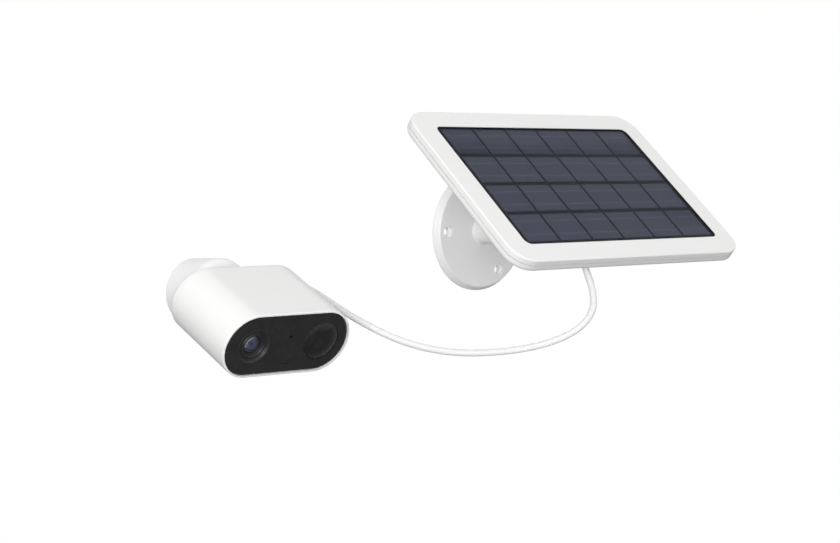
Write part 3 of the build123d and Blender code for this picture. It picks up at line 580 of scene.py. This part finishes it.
def smoothLine(route):
    curve = bpy.data.curves.new("cableLine", "CURVE")
    curve.dimensions = "3D"
    curve.resolution_u = 24
    spline = curve.splines.new("NURBS")
    spline.points.add(len(route) - 1)
    for point, place in zip(spline.points, route):
        point.co = (*place, 1)
    spline.order_u = 3
    spline.use_endpoint_u = True
    line = bpy.data.objects.new("cableLine", curve)
    bpy.context.scene.collection.objects.link(line)
    bpy.context.view_layer.update()
    read = bpy.data.meshes.new_from_object(line)
    points = [v.co.copy() for v in read.vertices]
    bpy.data.meshes.remove(read)
    bpy.data.objects.remove(line)
    return points


def measureLine(points):
    marks = [0.0]
    for first, second in zip(points, points[1:]):
        marks.append(marks[-1] + (second - first).length)
    return marks


def pointAt(points, marks, distance):
    for k in range(len(points) - 1):
        if distance <= marks[k + 1] or k == len(points) - 2:
            share = (distance - marks[k]) / max(marks[k + 1] - marks[k], 1e-9)
            return points[k].lerp(points[k + 1], min(max(share, 0), 1))


def tubeMesh(name, ringPoints, ringTurns, radius, sides):
    shape = bmesh.new()
    rings = []
    for place, (across, over) in zip(ringPoints, ringTurns):
        ring = []
        for k in range(sides):
            angle = math.tau * k / sides
            outward = across * math.cos(angle) + over * math.sin(angle)
            ring.append(shape.verts.new(place + outward * radius))
        rings.append(ring)
    for first, second in zip(rings, rings[1:]):
        for k in range(sides):
            near = (k + 1) % sides
            shape.faces.new((first[k], first[near], second[near], second[k]))
    shape.faces.new(list(reversed(rings[0])))
    shape.faces.new(rings[-1])
    bmesh.ops.recalc_face_normals(shape, faces=shape.faces[:])
    mesh = bpy.data.meshes.new(name)
    shape.to_mesh(mesh)
    shape.free()
    ends = set()
    for face in mesh.polygons:
        face.use_smooth = len(face.vertices) == 4
        if not face.use_smooth:
            ends.update(face.edge_keys)
    for edge in mesh.edges:  # keeps each cut end from shading the skin beside it
        edge.use_edge_sharp = edge.key in ends
    return mesh


def buildCable(values):
    points = smoothLine(cableRoute)
    marks = measureLine(points)
    total = marks[-1]
    count = round(total / values["ringStep"])
    stations = [total * k / count for k in range(count + 1)]
    places = [pointAt(points, marks, s) for s in stations]
    heading = [(places[min(k + 1, count)] - places[max(k - 1, 0)]).normalized() for k in range(count + 1)]
    across = heading[0].orthogonal().normalized()
    turns = []
    for direction in heading:  # carried along the line so that the skin doesn't twist
        across = (across - direction * across.dot(direction)).normalized()
        turns.append((across.copy(), direction.cross(across)))
    share = [length / sum(values["lengths"]) for length in values["lengths"]]
    cuts = [0]
    for part in share:
        cuts.append(min(count, cuts[-1] + round(part * count)))
    cuts[-1] = count
    lengths = []
    for k, name in enumerate(values["names"]):
        first, last = cuts[k], cuts[k + 1]
        stretch = slice(first, last + 1)
        mesh = tubeMesh(name, places[stretch], turns[stretch], values["diameter"] / 2, values["sides"])
        mesh.materials.append(finishes["cable_white"])
        piece = bpy.data.objects.new(name, mesh)
        bpy.context.scene.collection.objects.link(piece)
        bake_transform(piece)
        lengths.append(round(stations[last] - stations[first], 4))
    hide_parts("charging_cable")
    print("cable built:", round(total, 4), "m in lengths", lengths)


buildCable(cableSet)

# ---- lens iris: the blades' ring behind the front glass, its dark blue a painted reflection of the lens coating
irisSet = {
    "centre": (-21.5, 48.3),
    "outer": 2.7,
    "opening": 0.9,
    "blades": 9,
    "thick": 0.16,
    "paintedReflectionBlues": ((0.08, 0.10, 0.17), (0.19, 0.22, 0.31)),
}
cameraPlane = {"origin": (-0.216, -0.0412, -0.0292), "pitch": -23.85}


def cameraPlace(x, y, h):
    lean = math.radians(cameraPlane["pitch"])
    out = Vector((0, -math.cos(lean), math.sin(lean)))
    up = Vector((0, math.sin(lean), math.cos(lean)))
    return Vector(cameraPlane["origin"]) + (Vector((x, 0, 0)) + up * y + out * h) / 1000


def buildIris(values):
    centreX, centreH = values["centre"]
    shape = bmesh.new()
    count = values["blades"]
    for k in range(count):
        start = math.tau * k / count
        lift = values["thick"] * (k % 2) * 1.1
        corners = []
        for step in range(9):
            angle = start + math.tau / count * 1.06 * step / 8
            corners.append((values["outer"] * math.cos(angle), values["outer"] * math.sin(angle)))
        for step in range(9):
            angle = start + math.tau / count * 1.06 * (8 - step) / 8
            inner = values["opening"] * (1 + 0.10 * math.cos(count * angle))
            corners.append((inner * math.cos(angle), inner * math.sin(angle)))
        front, back = [], []
        for x, y in corners:
            front.append(shape.verts.new(cameraPlace(centreX + x, y, centreH + lift + values["thick"])))
            back.append(shape.verts.new(cameraPlace(centreX + x, y, centreH + lift)))
        shape.faces.new(front)
        shape.faces.new(list(reversed(back)))
        for n in range(len(corners)):
            near = (n + 1) % len(corners)
            shape.faces.new((front[n], back[n], back[near], front[near]))
    bmesh.ops.recalc_face_normals(shape, faces=shape.faces[:])
    mesh = bpy.data.meshes.new("lensIrisPaintedReflection")
    shape.to_mesh(mesh)
    shape.free()
    iris = bpy.data.objects.new("lensIrisPaintedReflection", mesh)
    bpy.context.scene.collection.objects.link(iris)
    mesh.materials.append(paintedReflectionIrisMaterial(values["paintedReflectionBlues"]))
    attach(iris, "camera")


# the two blues are a painted reflection of the coated lens, not the blades' own colour
def paintedReflectionIrisMaterial(paintedReflectionBlues):
    material, tree, shader = startMaterial("irisBladesPaintedReflection", {"Metallic": 0.6})
    lines = useGroup(tree, brushedLines, {"Line Scale": 2200.0, "Stretch": (1.0, 1.0, 1.0)})
    tree.links.new(tint(tree, lines.outputs["Height"], *paintedReflectionBlues), shader.inputs["Base Color"])
    tree.links.new(spread(tree, lines.outputs["Height"], 0.25, 0.4), shader.inputs["Roughness"])
    return material


buildIris(irisSet)
print("lens iris built")

# ---- return spring under the power button
springSet = {
    "centre": (-28.5, 0.0),
    "low": -0.35,
    "high": 2.15,
    "coilRadius": 2.35,
    "wireRadius": 0.2,
    "coils": 3.5,
    "press": 0.6,
    "steps": 112,
}


def buildSpring(values):
    centreX, centreY = values["centre"]
    wire = values["wireRadius"]
    rise = values["high"] - values["low"] - 2 * wire
    middle = cameraPlace(centreX, centreY, 0)
    places, inward = [], []
    for step in range(values["steps"] + 1):
        angle = math.tau * values["coils"] * step / values["steps"]
        height = values["low"] + wire + rise * step / values["steps"]
        x, y = values["coilRadius"] * math.cos(angle), values["coilRadius"] * math.sin(angle)
        places.append(cameraPlace(centreX + x, centreY + y, height))
        inward.append((cameraPlace(centreX + x, centreY + y, 0) - middle).normalized())
    turns = []
    for step, across in enumerate(inward):
        ahead = places[min(step + 1, values["steps"])] - places[max(step - 1, 0)]
        turns.append((across, ahead.normalized().cross(across).normalized()))
    spring = bpy.data.objects.new("buttonSpring", tubeMesh("buttonSpring", places, turns, wire / 1000, 10))
    bpy.context.scene.collection.objects.link(spring)
    spring.data.materials.append(finishes[slotOf["button_spring"]])
    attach(spring, "camera")
    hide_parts("button_spring")
    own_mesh(spring)


buildSpring(springSet)
print("button spring built")

# ---- floor, light and air
stageSet = {
    "floorHeight": -0.34,
    "floorSize": 40.0,
    "floorColour": (0.27, 0.27, 0.27),
    "floorShown": 1.0,
    "skyLight": 0.77,
    "lamps": {
        "leftSoftbox": {"place": (-2.0, -1.45, 0.55), "aim": (-0.15, -0.06, -0.02), "size": 1.4, "power": 10.0},
        "lowSoftbox": {"place": (-1.6, -1.6, -0.12), "aim": (-0.1, -0.05, 0.0), "size": 1.2, "power": 32.0},
        "frontSoftbox": {"place": (-0.4, -2.4, 1.2), "aim": (-0.1, -0.06, 0.0), "size": 1.6, "power": 2.0},
    },
}


def buildStage(values):
    shape = bmesh.new()
    half = values["floorSize"] / 2
    corners = [(-half, -half), (half, -half), (half, half), (-half, half)]
    shape.faces.new([shape.verts.new((x, y, values["floorHeight"])) for x, y in corners])
    mesh = bpy.data.meshes.new("floor")
    shape.to_mesh(mesh)
    shape.free()
    floor = bpy.data.objects.new("floor", mesh)
    bpy.context.scene.collection.objects.link(floor)
    material, tree, shader = startMaterial("floorPaint", {"Roughness": 0.9, "Specular IOR Level": 0.1})
    paint = addNode(tree, "ShaderNodeTexNoise", values={"Scale": 3.0, "Detail": 3.0})
    pale = tuple(c * 0.985 for c in values["floorColour"])
    body = tint(tree, paint.outputs["Fac"], values["floorColour"], pale)
    tree.links.new(body, shader.inputs["Base Color"])
    # stays pale to the eye, darker to the light
    shown = addNode(tree, "ShaderNodeEmission", values={"Strength": values["floorShown"]})
    pick = addNode(tree, "ShaderNodeMixShader")
    tree.links.new(addNode(tree, "ShaderNodeLightPath").outputs["Is Camera Ray"], pick.inputs[0])
    tree.links.new(shader.outputs[0], pick.inputs[1])
    tree.links.new(shown.outputs[0], pick.inputs[2])
    tree.links.new(pick.outputs[0], tree.nodes["Material Output"].inputs[0])
    mesh.materials.append(material)
    world = bpy.data.worlds.new("paleRoom")
    bpy.context.scene.world = world
    world.use_nodes = True
    tree = world.node_tree
    room = tree.nodes["Background"]
    room.inputs["Color"].default_value = (1, 1, 1, 1)
    room.inputs["Strength"].default_value = values["skyLight"]
    seen = addNode(tree, "ShaderNodeBackground", values={"Color": (1, 1, 1, 1), "Strength": 1.0})
    choose = addNode(tree, "ShaderNodeMixShader")
    tree.links.new(addNode(tree, "ShaderNodeLightPath").outputs["Is Camera Ray"], choose.inputs[0])
    tree.links.new(room.outputs[0], choose.inputs[1])
    tree.links.new(seen.outputs[0], choose.inputs[2])
    tree.links.new(choose.outputs[0], tree.nodes["World Output"].inputs[0])
    for name, lamp in values["lamps"].items():
        light = bpy.data.lights.new(name, "AREA")
        light.shape = "DISK"
        light.size = lamp["size"]
        light.energy = lamp["power"]
        holder = bpy.data.objects.new(name, light)
        place, aim = Vector(lamp["place"]), Vector(lamp["aim"])
        holder.location = place
        holder.rotation_mode = "QUATERNION"
        holder.rotation_quaternion = (aim - place).to_track_quat("-Z", "Y")
        bpy.context.scene.collection.objects.link(holder)
    bpy.context.scene.view_settings.view_transform = "Standard"
    bpy.context.scene.view_settings.look = "None"


buildStage(stageSet)
print("floor and lights placed")
